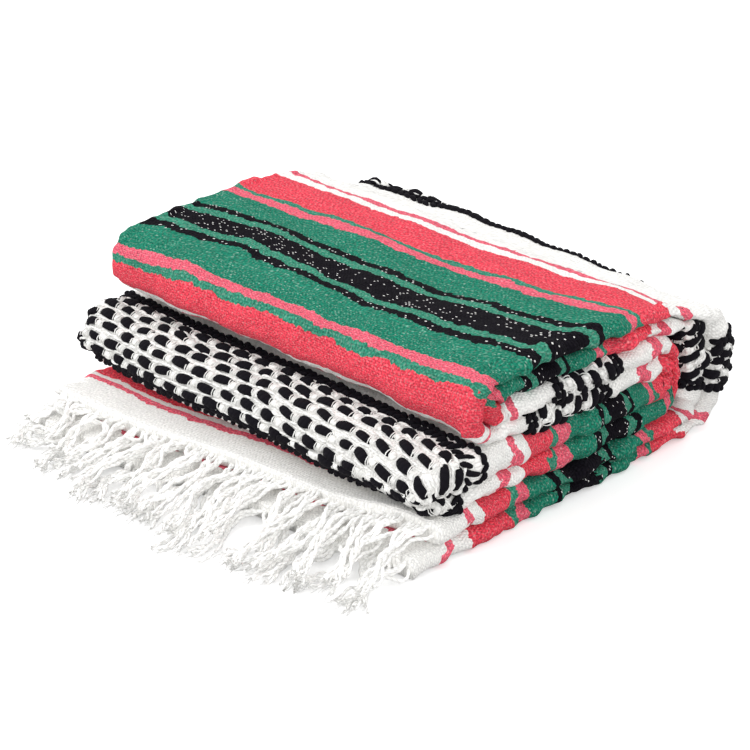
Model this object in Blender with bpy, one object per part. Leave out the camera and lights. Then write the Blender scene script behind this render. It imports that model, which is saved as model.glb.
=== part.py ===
"""A hand-woven striped cotton blanket, folded and rolled into a bundle, with a fringe at each end.

The blanket is 1.27 m wide and 1.9 m long. It is folded in quarters across its width, then in half
along its length, so both fringed ends lie together, and the doubled band is rolled up. Two rolls
lie one on the other in each stretch of it: face a of the doubled band is the outside of the first
roll, face b the outside of the second, and a groove parts them at both ends.

X runs along the stripes, -Y is the front with its folds and fringe, +Y the back turn, +Z is up.
The origin is on the floor, below the middle of the outline.
"""
import math

import bpy
from mathutils import Vector

# Driving sizes in metres
CREASE = 0.0004          # air between two stretches that lie on each other
SEAM = 0.0003            # air between two pieces where they join end to end
BOX_MIDDLE = (-0.0040, -0.0163)   # the middle of the outline, which becomes the origin

# The eight rolls of the bundle, from the floor up: four cloth layers each
ROLLS = (
    # height, right end, left end
    (0.0120, 0.1580, -0.1575),
    (0.0120, 0.1600, -0.1590),
    (0.0175, 0.1585, -0.1640),
    (0.0190, 0.1600, -0.1690),
    (0.0135, 0.1585, -0.1590),
    (0.0185, 0.1600, -0.1600),
    (0.0120, 0.1590, -0.1595),
    (0.0130, 0.1600, -0.1600),
)

# The section of the doubled band
COLUMNS = 9              # places across the band where its faces may bend
COLUMN_REACH = 0.128     # the outermost of those places, from the middle
END_ROUND = 0.0085       # how far a roll's round end stands out from its groove
FLAT_ROUND = 0.0020      # the same where two rolls run over into one
ROUND_ANGLE = math.radians(78)    # how far round a roll's end its arc goes, up and down
SELVAGE_STEP = 0.0045    # the two selvages of a roll lie this far behind the fold beside them
SELVAGE_SHARE = 0.23     # share of the doubled band's thickness that one roll's selvages take
RIGHT_STEPS, LEFT_STEPS = 4, 3    # faces round each round end

# Where the band turns: the y of each turn's middle and how far it bulges from there
BACK_Y, BACK_OUT, BACK_IN = 0.125, 0.057, 0.004
INNER_Y, INNER_OUT, INNER_IN = 0.106, 0.018, 0.004
FRONT_Y, FRONT_OUT, FRONT_IN = -0.050, 0.032, 0.004
FULLNESS = 0.7           # below 1 a turn is fuller than an ellipse
RUN_STEPS = 7
BACK_STEPS, TURN_STEPS = 14, 10

# The round nose where the doubled band is folded in half
NOSE_Y, NOSE_OUT = -0.080, 0.030
NOSE_ANGLE = math.radians(83)     # where the nose ends in a narrow flat
NOSE_LIFT = 1.6                   # above 1 it is rounder below than above
NOSE_SHORTER = (
    # the nose is this much shorter than the rolls at its right and left end
    (0.0140, 0.0070),    # upper roll
    (0.0196, 0.0070),    # lower roll
)
NOSE_STEPS = 8

# The two fringed ends, and how the whole bundle leans and swells
UPPER_END_Y, LOWER_END_Y = -0.117, -0.138
END_SKEW = 0.11          # the fringed ends are turned this much against the folds above
FRONT_SKEW = 0.03        # and the front fold this much against the back turn
BACK_DROP = 0.50         # share of height lost for each metre towards the back
SIDE_DROP = 0.10         # the same for each metre towards the right
SWELLS = (
    # height, x of the crest, y of the crest, reach in x, reach in y
    (0.0090, -0.110, 0.040, 0.130, 0.070),
    (0.0025, 0.100, -0.010, 0.060, 0.070),
    (-0.0020, 0.045, 0.040, 0.040, 0.050),
    (-0.0120, 0.020, 0.160, 0.400, 0.050),
)
FRONT_WAVES = (
    # how far the front edges wander, length of the wave, its phase
    (0.0018, 0.230, 0.6),
    (0.0010, 0.135, 2.1),
)
WAVES_FROM, WAVES_FULL = -0.052, -0.090   # the y where the wandering starts and where it is whole

# The fringe: locks in rows on a narrow backing at each end of the cloth
LOCKS_ACROSS, LOCK_LEVELS, LOCK_STEPS = 28, 2, 4
STRIP_REACH = 0.150      # the backing runs this far to each side of the middle
STRIP_DEPTH = 0.0025
STRIP_MARGIN = 0.0012    # and lies this far inside its roll's height
LOCK_ROOT = (0.0074, 0.0030)      # width and height of a lock at its root
LOCK_TIP = (0.0034, 0.0018)       # and at its tip
LOCK_LENGTHS = (0.78, 1.08)       # the shortest and the longest, as shares of the reach
DRIFT_BEND, DROOP_BEND = 1.3, 1.6   # how late a lock turns aside and how early it droops
CLUMP_EVERY, CLUMP_PULL = 0.052, 0.0034   # locks lean together in tufts this far apart
LOWER_TIPS, UPPER_TIPS = (0.0022, 0.0056), (0.0095, 0.0135)   # heights where locks end
LOWER_SHARE = 0.78       # the lower fringe starts further forward, so it reaches less far
FRINGE = (
    # x of the root, reach of the tip towards the front, drift of the tip to the right
    (-0.160, 0.038, 0.000),
    (-0.080, 0.068, 0.006),
    (0.000, 0.090, 0.014),
    (0.080, 0.088, 0.018),
    (0.160, 0.066, 0.016),
)

# Colours of the yarns
PINK, GREEN, WHITE = (0.80, 0.07, 0.12), (0.03, 0.26, 0.17), (0.82, 0.81, 0.78)
PALE, BLACK_AND_WHITE = (0.74, 0.72, 0.68), (0.10, 0.10, 0.11)
CLOTH_ROUGHNESS, YARN_ROUGHNESS = 0.95, 0.90


def between(start, end, share):
    return start + (end - start) * share


def level(count):
    """The height of the top of the first so many rolls."""
    return sum(height for height, right, left in ROLLS[:count])


def swell(x, y):
    return sum(
        height * math.exp(-(((x - crest_x) / reach_x) ** 2) - ((y - crest_y) / reach_y) ** 2)
        for height, crest_x, crest_y, reach_x, reach_y in SWELLS
    )


def column(k):
    return COLUMN_REACH * (2 * k / (COLUMNS - 1) - 1)


def wander(x, y):
    """How far a front edge wanders to the back: straight between the columns, as the faces are."""
    share = min(1.0, max(0.0, (y - WAVES_FROM) / (WAVES_FULL - WAVES_FROM)))
    eased = share * share * (3 - 2 * share)
    place = min(COLUMNS - 1, max(0.0, (x / COLUMN_REACH + 1) / 2 * (COLUMNS - 1)))
    k = min(COLUMNS - 2, int(place))
    far0, far1 = (
        sum(far * math.sin(2 * math.pi * column(i) / long + phase) for far, long, phase in FRONT_WAVES)
        for i in (k, k + 1)
    )
    return eased * between(far0, far1, place - k)


def lean(x, y, z):
    """Moves a point of the straight bundle to its place in the leaning, swollen one.

    Only the top two rolls swell, so the faces that lie on each other stay flat.
    """
    crown = max(0.0, (z - level(6)) / (level(8) - level(6)))
    height = (z + crown * swell(x, y)) * (1 - BACK_DROP * (y - FRONT_Y) - SIDE_DROP * x)
    return Vector((x - BOX_MIDDLE[0], y + wander(x, y) - BOX_MIDDLE[1], height))


def roll_ends(start, end, share=0.0):
    """Right and left end of the band where roll number start turns into roll number end."""
    (height_a, right_a, left_a), (height_b, right_b, left_b) = ROLLS[start - 1], ROLLS[end - 1]
    return between(right_a, right_b, share), between(left_a, left_b, share)


def station(face_a, face_b, ends_a, ends_b, skew=0.0, groove=1.0):
    """One place along the band: (y, z) of both faces, its ends, its skew and its groove's depth."""
    return {"a": face_a, "b": face_b, "ends_a": ends_a, "ends_b": ends_b, "skew": skew, "groove": groove}


def run(y0, y1, z_a, z_b, rolls, count=RUN_STEPS, skew=(0.0, 0.0)):
    """Stations of a straight stretch."""
    ends_a, ends_b = (roll_ends(roll, roll) for roll in rolls)
    stations = []
    for k in range(count + 1):
        y = between(y0, y1, k / count)
        stations.append(station((y, z_a), (y, z_b), ends_a, ends_b, between(*skew, k / count)))
    return stations


def half_ellipse(y, out, z0, z1, angle):
    bulge = abs(math.cos(angle)) ** FULLNESS
    return y + out * bulge, (z0 + z1) / 2 + (z1 - z0) / 2 * math.sin(angle)


def turn(y, face_a, face_b, rolls_a, rolls_b, count, skew=0.0):
    """Stations round a turn. A face is its bulge and the heights where it starts and ends."""
    stations = []
    for k in range(count + 1):
        share = k / count
        angle = math.pi * (share - 0.5)
        stations.append(station(
            half_ellipse(y, *face_a, angle), half_ellipse(y, *face_b, angle),
            roll_ends(*rolls_a, share), roll_ends(*rolls_b, share), skew,
        ))
    return stations


def nose(z_a, z_b, rolls):
    """Stations that close to the round nose, where face a runs over into face b."""
    stations = []
    middle, half = (z_a + z_b) / 2, (z_a - z_b) / 2
    for k in range(1, NOSE_STEPS + 1):
        angle = NOSE_ANGLE * k / NOSE_STEPS
        y = NOSE_Y - NOSE_OUT * math.sin(angle)
        above, below = half * math.cos(angle), half * math.cos(angle) ** NOSE_LIFT
        ends = []
        for roll, (right_less, left_less) in zip(rolls, NOSE_SHORTER):
            right, left = roll_ends(roll, roll)
            pull = 1 - math.cos(angle)
            ends.append((right - right_less * pull, left + left_less * pull))
        stations.append(station((y, middle + above), (y, middle - below), *ends, groove=1 - k / NOSE_STEPS))
    return stations


def lobe(share0, share1, end, side, depth, steps):
    """Points of one round roll end, from its groove at share0 to its groove at share1."""
    points = []
    for k in range(steps + 1):
        angle = ROUND_ANGLE * (2 * k / steps - 1)
        back = depth * (1 - math.cos(angle)) / (1 - math.cos(ROUND_ANGLE))
        along = 0.5 + 0.5 * math.sin(angle) / math.sin(ROUND_ANGLE)
        points.append((end - side * back, between(share0, share1, along)))
    return points


def section(place):
    """One closed section: (x, share) points, share 1 on face a and 0 on face b."""
    columns = [column(k) for k in range(COLUMNS)]
    depth = between(FLAT_ROUND, END_ROUND, place["groove"])
    step = SELVAGE_STEP * place["groove"]
    (right_a, left_a), (right_b, left_b) = place["ends_a"], place["ends_b"]
    right = lobe(1.0, 0.5, right_a, 1, depth, RIGHT_STEPS)
    right += lobe(0.5, 0.0, right_b, 1, depth, RIGHT_STEPS)[1:]
    left = []
    for share0, share1, end in (
        (0.0, 0.5 - SELVAGE_SHARE, left_b),
        (0.5 - SELVAGE_SHARE, 0.5, left_b + step),
        (0.5, 0.5 + SELVAGE_SHARE, left_a + step),
        (0.5 + SELVAGE_SHARE, 1.0, left_a),
    ):
        left += lobe(share0, share1, end, -1, depth, LEFT_STEPS)[1 if left else 0:]
    return [(x, 1.0) for x in columns] + right + [(x, 0.0) for x in reversed(columns)] + left


def ring(place):
    (y_a, z_a), (y_b, z_b) = place["a"], place["b"]
    return [
        lean(x, between(y_b, y_a, share) + place["skew"] * x, between(z_b, z_a, share))
        for x, share in section(place)
    ]


def cap(first, size):
    """Faces that close a section: a ladder across the columns and a polygon at each end."""
    face_a = [first + k for k in range(COLUMNS)]
    face_b = [first + 2 * COLUMNS + 2 * RIGHT_STEPS - k for k in range(COLUMNS)]
    faces = [(face_a[k], face_a[k + 1], face_b[k + 1], face_b[k]) for k in range(COLUMNS - 1)]
    faces.append(tuple(range(face_a[-1], face_b[-1] + 1)))
    faces.append(tuple(range(face_b[0], first + size)) + (first,))
    return faces


def make_object(name, points, faces, material):
    mesh = bpy.data.meshes.new(name)
    mesh.from_pydata([tuple(point) for point in points], [], faces)
    mesh.update()
    mesh.shade_smooth()
    mesh.set_sharp_from_angle(angle=math.radians(50))
    mesh.materials.append(material)
    piece = bpy.data.objects.new(name, mesh)
    bpy.context.scene.collection.objects.link(piece)


def band(name, stations, material):
    """A solid stretch of the folded band, lofted through its stations."""
    rings = [ring(place) for place in stations]
    size = len(rings[0])
    last = size * (len(rings) - 1)
    faces = cap(0, size) + [tuple(reversed(face)) for face in cap(last, size)]
    for a in range(0, last, size):
        for i in range(size):
            j = (i + 1) % size
            faces.append((a + i, a + size + i, a + size + j, a + j))
    make_object(name, [point for points in rings for point in points], faces, material)


def from_table(table, x, column):
    """A value of a table read at x, straight between its rows."""
    for low, high in zip(table, table[1:]):
        if x <= high[0]:
            break
    share = min(1.0, max(0.0, (x - low[0]) / (high[0] - low[0])))
    return between(low[column], high[column], share)


def lock_ring(root, tip_z, hold, end_y, share, length):
    """Four corners of a lock's section at a share of its way from the root to the tip."""
    x0, z0 = root
    reach = from_table(FRINGE, x0, 1) * length
    fall = max(0.0, (reach * share - hold) / (reach - hold))
    clump = CLUMP_PULL * math.sin(2 * math.pi * x0 / CLUMP_EVERY)
    x = x0 + (from_table(FRINGE, x0, 2) + clump) * share ** DRIFT_BEND
    y = end_y + END_SKEW * x0 - SEAM - STRIP_DEPTH - reach * share
    z = between(tip_z, z0, (1 - fall) ** DROOP_BEND)
    wide, high = (between(root_size, tip_size, share) / 2 for root_size, tip_size in zip(LOCK_ROOT, LOCK_TIP))
    return [lean(x + i * wide, y, z + j * high) for i, j in ((-1, -1), (1, -1), (1, 1), (-1, 1))]


def lock_length(i, level_number):
    """Uneven lengths that follow no visible order."""
    uneven = 0.5 + 0.5 * math.sin(7.3 * i + 2.9 * level_number)
    return between(*LOCK_LENGTHS, uneven)


def fringe(name, end_y, z_low, z_high, tips, hold, shorter, material):
    """Locks on their backing: the heights of their tips, and how far they run level first."""
    points, faces = [], []

    def add(new):
        points.extend(new)
        return list(range(len(points) - len(new), len(points)))

    def x_at(i):
        return STRIP_REACH * (2 * i / LOCKS_ACROSS - 1)

    def z_at(k):
        return between(z_low, z_high, k / LOCK_LEVELS)

    lines = []
    for i in range(LOCKS_ACROSS + 1):
        back = end_y + END_SKEW * x_at(i) - SEAM
        front_points = [lean(x_at(i), back - STRIP_DEPTH, z_at(k)) for k in range(LOCK_LEVELS + 1)]
        lines.append(add(front_points + [lean(x_at(i), back, z_high), lean(x_at(i), back, z_low)]))
    faces.append(tuple(lines[0]))
    faces.append(tuple(reversed(lines[-1])))
    around = LOCK_LEVELS + 3
    for i, (a, b) in enumerate(zip(lines, lines[1:])):
        for k in range(LOCK_LEVELS, around):
            n = (k + 1) % around
            faces.append((a[k], b[k], b[n], a[n]))
        for k in range(LOCK_LEVELS):
            corners = [a[k], b[k], b[k + 1], a[k + 1]]
            root = (x_at(i + 0.5), z_at(k + 0.5))
            length = shorter * lock_length(i, k)
            for step in range(LOCK_STEPS + 1):
                new = add(lock_ring(root, tips[k], hold, end_y, step / LOCK_STEPS, length))
                for c in range(4):
                    d = (c + 1) % 4
                    faces.append((corners[c], corners[d], new[d], new[c]))
                corners = new
            faces.append(tuple(corners))
    make_object(name, points, faces, material)


def finish(name, colour, roughness):
    material = bpy.data.materials.new(name)
    material.use_nodes = True
    shader = material.node_tree.nodes["Principled BSDF"]
    shader.inputs["Base Color"].default_value = (*colour, 1.0)
    shader.inputs["Roughness"].default_value = roughness
    shader.inputs["Metallic"].default_value = 0.0
    material.diffuse_color = (*colour, 1.0)
    return material


def bottom_stretch():
    """Rolls 1 and 2, on the floor, from the fringed ends to the back turn."""
    z1, z2 = level(1), level(2) - CREASE / 2
    ledge = run(LOWER_END_Y, UPPER_END_Y - SEAM / 3, 0, z1, (1, 1), 1, (END_SKEW, END_SKEW))
    rest = run(UPPER_END_Y, BACK_Y - SEAM, 0, z2, (1, 2), skew=(END_SKEW, 0))
    band("bottom_stretch", ledge + rest, finish("green_cloth", GREEN, CLOTH_ROUGHNESS))


def back_turn():
    """The wide turn at the back, from rolls 1 and 2 up to rolls 8 and 7."""
    face_a = (BACK_OUT, 0, level(8))
    face_b = (BACK_IN, level(2) - CREASE / 2, level(6) + CREASE / 2)
    stations = turn(BACK_Y, face_a, face_b, (1, 8), (2, 7), BACK_STEPS)
    band("back_turn", stations, finish("white_cloth", WHITE, CLOTH_ROUGHNESS))


def top_stretch():
    """Rolls 8 and 7 on top, and the front fold that takes them down to rolls 5 and 6."""
    above, below = level(6) + CREASE / 2, level(6) - CREASE / 2
    stations = run(BACK_Y - SEAM, FRONT_Y, level(8), above, (8, 7), skew=(0, FRONT_SKEW))
    face_a = (-FRONT_OUT, level(8), level(4) + CREASE / 2)
    face_b = (-FRONT_IN, above, below)
    stations += turn(FRONT_Y, face_a, face_b, (8, 5), (7, 6), TURN_STEPS, FRONT_SKEW)[1:]
    band("top_stretch_and_front_fold", stations, finish("pink_cloth", PINK, CLOTH_ROUGHNESS))


def inner_stretch():
    """Rolls 5 and 6, hidden but for their ends, and the inner turn down to rolls 4 and 3."""
    above, below = level(4) + CREASE / 2, level(4) - CREASE / 2
    z6, z2 = level(6) - CREASE / 2, level(2) + CREASE / 2
    stations = run(FRONT_Y + SEAM, INNER_Y, above, z6, (5, 6), skew=(FRONT_SKEW, 0))
    face_a, face_b = (INNER_IN, above, below), (INNER_OUT, z6, z2)
    stations += turn(INNER_Y, face_a, face_b, (5, 4), (6, 3), TURN_STEPS)[1:]
    band("inner_stretch", stations, finish("pale_cloth", PALE, CLOTH_ROUGHNESS))


def middle_fold():
    """Rolls 4 and 3, which end in the round nose at the front."""
    z_a, z_b = level(4) - CREASE / 2, level(2) + CREASE / 2
    stations = run(INNER_Y - SEAM, NOSE_Y, z_a, z_b, (4, 3)) + nose(z_a, z_b, (4, 3))
    band("middle_fold", stations, finish("black_and_white_cloth", BLACK_AND_WHITE, CLOTH_ROUGHNESS))


def lower_fringe():
    fringe("lower_fringe", LOWER_END_Y, STRIP_MARGIN, level(1) - STRIP_MARGIN, LOWER_TIPS,
           0.0, LOWER_SHARE, finish("lower_fringe_yarn", WHITE, YARN_ROUGHNESS))


def upper_fringe():
    """It first runs level over the lower roll, which reaches further forward."""
    fringe("upper_fringe", UPPER_END_Y, level(1) + STRIP_MARGIN, level(2) - STRIP_MARGIN, UPPER_TIPS,
           UPPER_END_Y - LOWER_END_Y, 1.0, finish("upper_fringe_yarn", WHITE, YARN_ROUGHNESS))


def main():
    for old in list(bpy.data.objects):
        bpy.data.objects.remove(old, do_unlink=True)
    for make in (bottom_stretch, back_turn, top_stretch, inner_stretch, middle_fold, lower_fringe, upper_fringe):
        make()


main()
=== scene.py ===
# %% [markdown]
# A folded falsa blanket, in cells. A falsa is woven from thick, fuzzy yarn on a thin white warp.
# This one is folded to a doubled band and rolled up, so its looks come from three things: where
# the cloth runs, which stripe of the cloth lies where, and what its yarns do to the light.
# We load the fixed frame first: everything below is laid on it, in metres.

# %% Load the frame
import math

import bpy
import numpy as np
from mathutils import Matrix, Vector


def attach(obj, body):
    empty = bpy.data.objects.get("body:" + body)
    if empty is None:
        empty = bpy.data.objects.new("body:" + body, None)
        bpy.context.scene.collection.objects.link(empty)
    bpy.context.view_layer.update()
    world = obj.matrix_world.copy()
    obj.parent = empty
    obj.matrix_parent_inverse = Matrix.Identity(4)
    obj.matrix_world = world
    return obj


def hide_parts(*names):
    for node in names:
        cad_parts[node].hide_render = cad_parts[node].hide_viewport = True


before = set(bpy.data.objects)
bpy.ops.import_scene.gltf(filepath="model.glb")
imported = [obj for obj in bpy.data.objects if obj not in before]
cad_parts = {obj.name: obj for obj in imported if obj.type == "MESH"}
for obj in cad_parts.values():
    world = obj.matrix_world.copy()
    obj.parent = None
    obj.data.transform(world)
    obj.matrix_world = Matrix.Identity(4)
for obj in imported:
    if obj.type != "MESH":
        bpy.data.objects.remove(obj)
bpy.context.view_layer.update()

print("nodes:", sorted(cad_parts))

# %% [markdown]
# The bundle has eight rolls, one on the other. Each is the blanket's width folded in quarters, so
# it is four cloths thick, with one round fold at the right end, and a fold beside two selvages at
# the left end. We could push vertices of the plain solids about, but a cloth is easier to steer by
# its own path: so here are the sizes that the path follows. Most are the ones that the solids
# have. The round ends, the last swell and the settles differ, and lay the cloth nearer to the
# real one.

# %% Sizes of the bundle
CREASE = 0.0004
BOX_MIDDLE = (-0.0040, -0.0163)
ROLLS = (
    # height, right end, left end
    (0.0120, 0.1580, -0.1575),
    (0.0120, 0.1600, -0.1590),
    (0.0175, 0.1585, -0.1640),
    (0.0190, 0.1600, -0.1690),
    (0.0135, 0.1585, -0.1590),
    (0.0185, 0.1600, -0.1600),
    (0.0120, 0.1590, -0.1595),
    (0.0130, 0.1600, -0.1600),
)
LEVEL = np.concatenate([[0.0], np.cumsum([height for height, right, left in ROLLS])])
END_ROUND, NOSE_ROUND = 0.0088, 0.0110
ROUND_ANGLE = math.radians(84)
SELVAGE_STEP, SELVAGE_ROUND, SELVAGE_SHARE = 0.0045, 0.0024, 0.46
BACK_Y, BACK_OUT, BACK_IN = 0.125, 0.057, 0.004
INNER_Y, INNER_OUT, INNER_IN = 0.106, 0.018, 0.004
FRONT_Y, FRONT_OUT, FRONT_IN = -0.050, 0.032, 0.004
FULLNESS = 0.7
NOSE_Y, NOSE_OUT, NOSE_LIFT = -0.080, 0.030, 1.6
NOSE_SHORTER = ((0.0140, 0.0070), (0.0196, 0.0070))
UPPER_END_Y, LOWER_END_Y = -0.117, -0.138
END_SKEW, FRONT_SKEW = 0.11, 0.03
BACK_DROP, SIDE_DROP = 0.50, 0.10
SWELLS = (
    # height, x and y of the crest, reach in x and y
    (0.0090, -0.110, 0.040, 0.130, 0.070),
    (0.0025, 0.100, -0.010, 0.060, 0.070),
    (-0.0020, 0.045, 0.040, 0.040, 0.050),
    (-0.0150, -0.100, 0.160, 0.350, 0.050),
)
SETTLES = (
    # height, height of what it moves, reach up and down, x and y where it starts and is full
    (0.0060, 0.0605, 0.0160, -0.30, -0.29, -0.010, -0.055),
    (0.0065, 0.0240, 0.0140, 0.07, 0.14, 0.020, -0.040),
    (-0.0090, 0.1350, 0.0600, -0.30, -0.29, 0.095, 0.150),
)
FRONT_WAVES = ((0.0018, 0.230, 0.6), (0.0010, 0.135, 2.1))
WAVES_FROM, WAVES_FULL = -0.052, -0.090
print("height of the rolls:", LEVEL[-1])

# %% [markdown]
# A point of the straight bundle is moved to its place in the leaning, swollen one. A swell lifts
# or lowers the crown about one place. A settle lifts or lowers the layers near one height, only
# towards the front or the back, as a bundle settles unevenly under its own weight. As numpy
# arrays, a whole grid of points goes through these functions in one call.

# %% Lean and swell


def mix(start, end, share):
    return start + (end - start) * share


def smooth(low, high, value):
    share = np.clip((value - low) / (high - low), 0, 1)
    return share * share * (3 - 2 * share)


def lean(x, y, z):
    swell = sum(
        height * np.exp(-(((x - cx) / rx) ** 2) - ((y - cy) / ry) ** 2)
        for height, cx, cy, rx, ry in SWELLS
    )
    crown = np.maximum(0, (z - LEVEL[6]) / (LEVEL[8] - LEVEL[6]))
    settle = sum(
        height * np.exp(-(((z - cz) / rz) ** 2)) * smooth(x0, x1, x) * smooth(-y0, -y1, -y)
        for height, cz, rz, x0, x1, y0, y1 in SETTLES
    )
    tall = (z + settle + crown * swell) * (1 - BACK_DROP * (y - FRONT_Y) - SIDE_DROP * x)
    waves = sum(far * np.sin(2 * math.pi * x / long + phase) for far, long, phase in FRONT_WAVES)
    wander = waves * smooth(WAVES_FROM, WAVES_FULL, y)
    return np.stack([x - BOX_MIDDLE[0], y + wander - BOX_MIDDLE[1], tall], axis=-1)


print("middle of the crown:", lean(0.0, 0.04, LEVEL[8]).round(4))

# %% [markdown]
# The doubled band's path has eight stretches, and a place on it is one number: 2.5 is the middle
# of the third stretch. Face a of the band is the outside of one ribbon of cloth, face b the
# outside of the other. Each stretch gives the height and depth of both faces and where its rolls
# end, which is all that a section needs.

# %% The path of the doubled band


def ends(start, end, t):
    (_, right0, left0), (_, right1, left1) = ROLLS[start - 1], ROLLS[end - 1]
    return mix(right0, right1, t), mix(left0, left1, t)


def straight(y0, y1, z_a, z_b, rolls, skews):
    def at(t):
        y = mix(y0, y1, t)
        a, b = ends(rolls[0], rolls[0], t), ends(rolls[1], rolls[1], t)
        return np.stack([y, z_a + 0 * t, y, z_b + 0 * t, *a, *b, mix(*skews, t), 1 + 0 * t])
    return at


def turned(y, face_a, face_b, rolls_a, rolls_b, skew):
    def face(out, z0, z1, angle):
        bulge = np.abs(np.cos(angle)) ** FULLNESS
        return y + out * bulge, (z0 + z1) / 2 + (z1 - z0) / 2 * np.sin(angle)

    def at(t):
        angle = math.pi * (t - 0.5)
        a, b = face(*face_a, angle), face(*face_b, angle)
        return np.stack([*a, *b, *ends(*rolls_a, t), *ends(*rolls_b, t), skew + 0 * t, 1 + 0 * t])
    return at


def nose(z_a, z_b, rolls):
    def at(t):
        angle = t * math.pi / 2
        y = NOSE_Y - NOSE_OUT * np.sin(angle)
        middle, half = (z_a + z_b) / 2, (z_a - z_b) / 2
        above, below = middle + half * np.cos(angle), middle - half * np.cos(angle) ** NOSE_LIFT
        sides = []
        for roll, (right_less, left_less) in zip(rolls, NOSE_SHORTER):
            right, left = ends(roll, roll, t)
            pull = 1 - np.cos(angle)
            sides += [right - right_less * pull, left + left_less * pull]
        return np.stack([y, above, y, below, *sides, 0 * t, 1 - smooth(0, 0.9, t)])
    return at


def bottom(t):
    y = mix(LOWER_END_Y, BACK_Y, t)
    skew = END_SKEW * np.clip((BACK_Y - y) / (BACK_Y - UPPER_END_Y), 0, 1)
    a, b = ends(1, 1, t), ends(2, 2, t)
    return np.stack([y, 0 * t, y, LEVEL[2] - CREASE / 2 + 0 * t, *a, *b, skew, 1 + 0 * t])


UP, DOWN = CREASE / 2, -CREASE / 2
STRETCHES = (
    bottom,
    turned(BACK_Y, (BACK_OUT, 0, LEVEL[8]), (BACK_IN, LEVEL[2] + DOWN, LEVEL[6] + UP), (1, 8), (2, 7), 0),
    straight(BACK_Y, FRONT_Y, LEVEL[8], LEVEL[6] + UP, (8, 7), (0, FRONT_SKEW)),
    turned(FRONT_Y, (-FRONT_OUT, LEVEL[8], LEVEL[4] + UP), (-FRONT_IN, LEVEL[6] + UP, LEVEL[6] + DOWN),
           (8, 5), (7, 6), FRONT_SKEW),
    straight(FRONT_Y, INNER_Y, LEVEL[4] + UP, LEVEL[6] + DOWN, (5, 6), (FRONT_SKEW, 0)),
    turned(INNER_Y, (INNER_IN, LEVEL[4] + UP, LEVEL[4] + DOWN), (INNER_OUT, LEVEL[6] + DOWN, LEVEL[2] + UP),
           (5, 4), (6, 3), 0),
    straight(INNER_Y, NOSE_Y, LEVEL[4] + DOWN, LEVEL[2] + UP, (4, 3), (0, 0)),
    nose(LEVEL[4] + DOWN, LEVEL[2] + UP, (4, 3)),
)
BOTTOM, BACK, TOP, FRONT, INNER, INNER_TURN, MIDDLE, NOSE, TIP = range(9)
UPPER_START = (UPPER_END_Y - LOWER_END_Y) / (BACK_Y - LOWER_END_Y)


def band(q):
    """Ten rows of values at places q: y and z of faces a and b, four roll ends, skew, roundness."""
    q = np.asarray(q, float)
    which = np.clip(np.floor(q).astype(int), BOTTOM, NOSE)
    out = np.zeros((10, q.size))
    for number, stretch in enumerate(STRETCHES):
        here = which == number
        if here.any():
            out[:, here] = stretch(q[here] - number)
    return out


print("band at the front fold:", band([FRONT + 0.5])[:4].ravel().round(4))

# %% [markdown]
# Which stripe lies where? The cloth's own length coordinate is zero at the middle of its middle
# float band, beside the round nose, and grows towards both fringes. For each ribbon a table tells
# at which places of the path a length lies, at five places across, closest at the right, where
# the cloth was pulled askew. So a stripe may wander across the bundle as it does on cloth. On
# the back crown the white zone is laid out longer than the repeat gives, and on the front of
# the bottom rolls the thin stripes are squeezed, because they look so from the front.

# %% Cloth length along the path
PLACES_ACROSS = np.array([-0.15, -0.08, 0.0, 0.10, 0.15])
PATH_END, HALVINGS = 8.7, 26    # lengths are looked up a little past the nose's tip too


def level(length, place):
    """A stripe that lies at the same place of the path all across."""
    return (length, *[place] * len(PLACES_ACROSS))


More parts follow.
